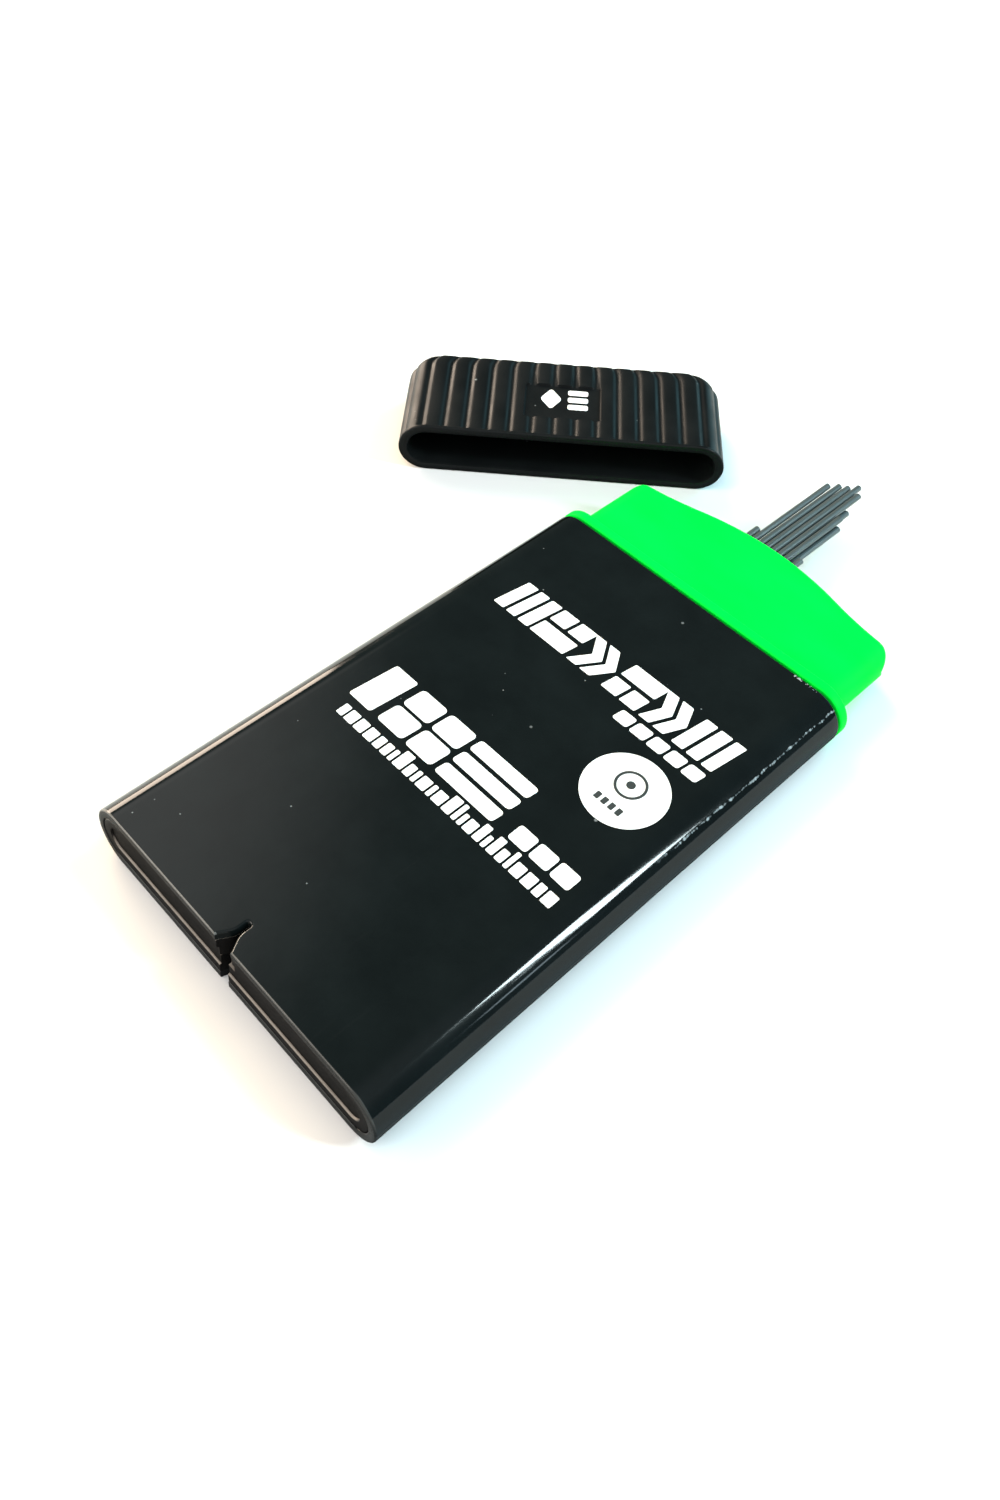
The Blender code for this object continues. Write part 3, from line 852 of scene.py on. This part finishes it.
def build_leads(material):
    """One finely rounded rod for each CAD lead, with its own small chip and lean."""
    chance = random.Random(7)
    for name in sorted(frame["nodes"]):
        if not name.startswith("lead_"):
            continue
        bm = loft(lead_rings(*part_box(name), chance))
        body = "leads_" + name.split("_")[1]
        finish_piece(name.replace("lead_", "rod_"), bm, body, material, [name])


# ---------------------------------------------------------------- printed marks

def rounded_outline(corners, radius, steps=5):
    """Round the corners of a convex or concave outline."""
    points = []
    count = len(corners)
    for i in range(count):
        here = Vector(corners[i])
        before = Vector(corners[i - 1]) - here
        after = Vector(corners[(i + 1) % count]) - here
        cut_back = min(radius, before.length * 0.45, after.length * 0.45)
        start, end = here + before.normalized() * cut_back, here + after.normalized() * cut_back
        for k in range(steps + 1):
            t = k / steps
            points.append(tuple(start * (1 - t) ** 2 + here * 2 * t * (1 - t) + end * t * t))
    return points


def slab(x, y, width, height, corner, lean=0.0):
    """Outline of a slanted bar with rounded corners."""
    corners = [(x, y), (x + width, y), (x + width + lean, y + height), (x + lean, y + height)]
    return rounded_outline(corners, corner)


def circle(x, y, radius, steps=72):
    angles = [TAU * i / steps for i in range(steps)]
    return [(x + radius * math.cos(a), y + radius * math.sin(a)) for a in angles]


def ink_prism(bm, rims, low, high):
    """Add a flat prism over one outline, or a ring over an outer and an inner one."""
    loops = []
    for rim in rims:
        inner = [bm.verts.new((x * MM, y * MM, low)) for x, y in rim]
        outer = [bm.verts.new((x * MM, y * MM, high)) for x, y in rim]
        loops.append((inner, outer))
        join_loops(bm, inner, outer)
    for level in (0, 1):
        if len(loops) == 1:
            bm.faces.new(loops[0][level])
        else:
            join_loops(bm, loops[0][level], loops[1][level])


def print_shapes(name, outlines, body, material, surface, lift=0.0, matrix=None):
    """Thin raised ink over (x, y) outlines in mm; a tuple of two outlines is a ring."""
    bm = bmesh.new()
    for outline in outlines:
        rims = outline if isinstance(outline, tuple) else (outline,)
        ink_prism(bm, rims, surface - INK_SINK, surface + INK + lift)
    if matrix:
        for vert in bm.verts:
            vert.co = matrix @ vert.co
    return finish_piece(name, bm, body, material)


def face_y(from_bottom):
    """Height on the face, in mm, from a distance above the bottom end."""
    return BOTTOM_Y / MM + from_bottom


def bars(x, widths, low=0.0, high=1.0):
    """Slanted bars side by side, over part of the band's height."""
    shapes = []
    for width in widths:
        y = face_y(BAND_Y) + BAND_HEIGHT * low
        height = BAND_HEIGHT * (high - low)
        shapes.append(slab(x + BAND_LEAN * low, y, width, height, 0.16, BAND_LEAN * (high - low)))
        x += width + BAND_GAP
    return shapes


def chevrons(x, width, count, arm=1.25):
    """Chevrons that point right, over the band's whole height."""
    shapes = []
    low = face_y(BAND_Y)
    middle = low + BAND_HEIGHT / 2
    high = low + BAND_HEIGHT
    for i in range(count):
        left = x + i * (arm + 0.45)
        tip = left + width - arm
        corners = [(left, low), (left + arm, low), (tip + arm, middle), (left + arm, high)]
        corners += [(left, high), (tip, middle)]
        shapes.append(rounded_outline(corners, 0.14))
    return shapes


def band_shapes():
    """Six abstract slanted signs in a row: bars, stacked bars and chevrons."""
    shapes = bars(-12.7, (1.3, 1.15, 1.3))
    shapes += bars(-7.8, (4.3,), 0.0, 0.44)
    shapes += bars(-7.8, (1.95, 1.95), 0.56, 1.0)
    shapes += chevrons(-3.0, 2.6, 2)
    shapes += bars(1.4, (4.1,), 0.56, 1.0)
    shapes += bars(1.4, (1.85, 1.85), 0.0, 0.44)
    shapes += chevrons(6.0, 2.2, 2)
    return shapes + bars(9.9, (1.3, 1.3, 1.15))


def dash_shapes():
    lefts = [DASH_LEFT + i * DASH_PITCH for i in range(5)]
    return [slab(x, face_y(DASH_Y), *DASH_SIZE, 0.3, 0.2) for x in lefts]


def disc_figures():
    """A ringed dot over a row of small bars."""
    x, y = DISC_X, face_y(DISC_Y) + 0.75
    figures = [(circle(x, y, 1.5), circle(x, y, 1.24)), circle(x, y, 0.42, 24)]
    for i in range(4):
        figures.append(slab(DISC_BAR_LEFT + i * 0.8, face_y(DISC_BAR_Y), 0.5, 0.75, 0.1))
    return figures


def block_shapes():
    """Large slab, four rounded blocks and three stacked bars."""
    low = face_y(BLOCK_Y)
    blocks = [slab(-12.9, low, 2.9, 5.3, 0.3, 0.5)]
    for x in (-9.1, -5.35):
        for y, lean in ((low, 0.0), (low + 2.8, 0.25)):
            blocks.append(slab(x + lean, y, 3.3, 2.45, BLOCK_CORNER, 0.2))
    for i in range(3):
        blocks.append(slab(-1.5 + 0.15 * i, low + 1.9 * i, 7.1, 1.45, 0.4, 0.15))
    return blocks


def square_shapes():
    lefts = [SQUARE_LEFT + i * SQUARE_PITCH for i in range(3)]
    return [slab(x, face_y(BLOCK_Y), *SQUARE_SIZE, 0.35) for x in lefts]


def tick_shapes():
    """A fine row of ticks of uneven width, a few of them taller."""
    chance = random.Random(21)
    ticks = []
    x = TICK_LEFT
    while x < TICK_RIGHT:
        width = chance.choice(TICK_WIDTHS)
        height = TALL_TICK if chance.random() < TALL_SHARE else TICK_HEIGHT
        ticks.append(slab(x, face_y(TICK_Y), width, height, 0.14))
        x += width + TICK_GAP
    return ticks


def cap_shapes():
    """A diamond and three stacked bars for the cap's panel."""
    diamond = [(-1.5, 5.15), (-0.25, 7.05), (-1.5, 8.95), (-2.75, 7.05)]
    lows = [5.3 + 1.3 * i for i in range(3)]
    stack = [slab(0.4, y, 2.3, 0.9, 0.3) for y in lows]
    return [rounded_outline(diamond, 0.5)] + stack


def build_prints(white, dark):
    surface = SLEEVE_HIGH.z
    on_case = {
        "print_band": band_shapes(),
        "print_dashes": dash_shapes(),
        "print_disc": [circle(DISC_X, face_y(DISC_Y), DISC_RADIUS)],
        "print_blocks": block_shapes(),
        "print_squares": square_shapes(),
        "print_ticks": tick_shapes(),
    }
    for name, shapes in on_case.items():
        print_shapes(name, shapes, "case", white, surface)
    print_shapes("print_disc_mark", disc_figures(), "case", dark, surface, DARK_LIFT)
    panel = CAP_SIZE.z - PANEL_DEPTH
    print_shapes("print_cap_mark", cap_shapes(), "cap", white, panel, matrix=CAP_MATRIX)


# ---------------------------------------------------------------- stage

# Room: its colour, then each glow as (azimuth, elevation, inner and outer half-angle), colour
ROOM_COLOUR = (0.08, 0.11, 0.12, 1)
ROOM_GLOWS = (
    ((166, 47, 0, 20), (1.8, 1.75, 1.7, 1)),
    ((-60, 45, 5, 74), (0.8, 0.8, 0.8, 1)),
    ((-122, 27, 3, 26), (6.0, 5.6, 5.2, 1)),
    ((86, 14, 4, 22), (0.9, 2.0, 2.3, 1)),
)

# Lamps: azimuth, elevation, distance, size, power, colour, seen in reflections, aim in mm
CASE_MIDDLE = (0, 10, 3)
SHOULDER = (16.8, -8, 5)
LAMPS = {
    "window": (180, 13, 0.60, (0.48, 0.20), 4.4, (1.0, 0.82, 0.66), True, CASE_MIDDLE),
    "strip": (33.0, 35.5, 0.80, (0.085, 0.26), 5.2, (0.80, 0.97, 1.0), True, SHOULDER),
    "strip_low": (24, 17, 0.80, (0.06, 0.05), 0.10, (0.7, 0.9, 1.0), True, (17, -13, 4)),
    "warm_fill": (166, 38, 0.60, (0.35, 0.35), 3.2, (1.0, 0.74, 0.34), False, CASE_MIDDLE),
    "cool_fill": (80, 30, 0.60, (0.30, 0.30), 3.0, (0.25, 0.80, 1.0), False, CASE_MIDDLE),
    "top_fill": (-45, 70, 0.60, (0.50, 0.50), 1.4, (1.0, 1.0, 1.0), False, CASE_MIDDLE),
}

FLOOR_HALF = 2.0
FLOOR_GAP = 0.02 * MM

# Camera, from the middle of the case's bottom edge on the table
CAMERA_OFFSET = Vector((55.009, -29.915, 106.411)) * MM
CAMERA_HEADING = math.radians(44.064)
CAMERA_PITCH = math.radians(39.895)
CAMERA_ROLL = math.radians(3.58)
CAMERA_LENS = 34.836
CAMERA_SHIFT_Y = -0.1995


def direction(azimuth, elevation):
    """Unit vector towards an azimuth (degrees from +X) and elevation."""
    a, e = math.radians(azimuth), math.radians(elevation)
    return Vector((math.cos(a) * math.cos(e), math.sin(a) * math.cos(e), math.sin(e)))


def area_light(name, azimuth, elevation, distance, size, power, colour, glossy, aim):
    data = bpy.data.lights.new(name, "AREA")
    data.shape = "RECTANGLE"
    data.size, data.size_y = size
    data.energy = power
    data.color = colour
    lamp = bpy.data.objects.new(name, data)
    bpy.context.scene.collection.objects.link(lamp)
    lamp.visible_glossy = glossy
    towards = direction(azimuth, elevation)
    lamp.location = Vector(aim) * MM + towards * distance
    lamp.rotation_euler = towards.to_track_quat("Z", "Y").to_euler()


def build_world():
    """Dim room with soft glows: left, over the viewer's side, low behind them and low at the right."""
    world = bpy.data.worlds.new("room")
    bpy.context.scene.world = world
    world.use_nodes = True
    tree = world.node_tree
    background = tree.nodes["Background"]
    where = add(tree, "ShaderNodeTexCoord").outputs["Generated"]

    def lobe(azimuth, elevation, inner, outer):
        towards = direction(azimuth, elevation)
        facing_it = add(tree, "ShaderNodeVectorMath", {0: where, 1: towards}, operation="DOT_PRODUCT")
        limits = {
            "Value": facing_it.outputs["Value"],
            "From Min": math.cos(math.radians(outer)),
            "From Max": math.cos(math.radians(inner)),
        }
        soft = add(tree, "ShaderNodeMapRange", limits, interpolation_type="SMOOTHERSTEP")
        return soft.outputs["Result"]

    colour = ROOM_COLOUR
    for place_in_sky, brightness in ROOM_GLOWS:
        colour = mix_colour(tree, lobe(*place_in_sky), colour, brightness)
    tree.links.new(colour, background.inputs["Color"])


def build_floor():
    """Plain pale table just under the case."""
    bm = bmesh.new()
    bmesh.ops.create_grid(bm, x_segments=1, y_segments=1, size=FLOOR_HALF)
    mesh = bpy.data.meshes.new("floor")
    bm.to_mesh(mesh)
    bm.free()
    floor = bpy.data.objects.new("floor", mesh)
    bpy.context.scene.collection.objects.link(floor)
    floor.location.z = SLEEVE_LOW.z - FLOOR_GAP
    material, _, shader = new_material("floor")
    shader.inputs["Base Color"].default_value = (0.72, 0.72, 0.72, 1)
    shader.inputs["Roughness"].default_value = 0.7
    shader.inputs["Specular IOR Level"].default_value = 0.2
    mesh.materials.append(material)


def build_stage():
    build_world()
    for name, settings in LAMPS.items():
        area_light(name, *settings)
    build_floor()


def build_camera():
    data = bpy.data.cameras.new("camera")
    data.sensor_fit = "AUTO"
    data.sensor_width = 36.0
    data.lens = CAMERA_LENS
    data.shift_y = CAMERA_SHIFT_Y
    data.clip_start, data.clip_end = 0.005, 5.0
    camera = bpy.data.objects.new("camera", data)
    bpy.context.scene.collection.objects.link(camera)
    camera.location = Vector((0, BOTTOM_Y, SLEEVE_LOW.z)) + CAMERA_OFFSET
    heading = Vector((-math.sin(CAMERA_HEADING), math.cos(CAMERA_HEADING), 0))
    forward = heading * math.cos(CAMERA_PITCH) - Vector((0, 0, 1)) * math.sin(CAMERA_PITCH)
    look = forward.to_track_quat("-Z", "Y").to_matrix()
    camera.rotation_euler = (look @ Matrix.Rotation(CAMERA_ROLL, 3, "Z")).to_euler()
    bpy.context.scene.camera = camera


def main():
    black = gloss_black()
    ribbed = black_plastic("ribbed_black", (0.003, 0.0038, 0.0040), 0.40, 0.10, 0.20, 0.07)[0]
    green = green_plastic()
    build_sleeve(black)
    build_plug(plug_plastic())
    build_insert(green)
    build_magazine(green)
    build_cap(ribbed)
    build_leads(graphite())
    build_prints(ink("white_ink", (0.86, 0.87, 0.87)), ink("dark_ink", (0.03, 0.035, 0.035)))
    build_stage()
    build_camera()
    bpy.context.scene.view_settings.view_transform = "Standard"


main()
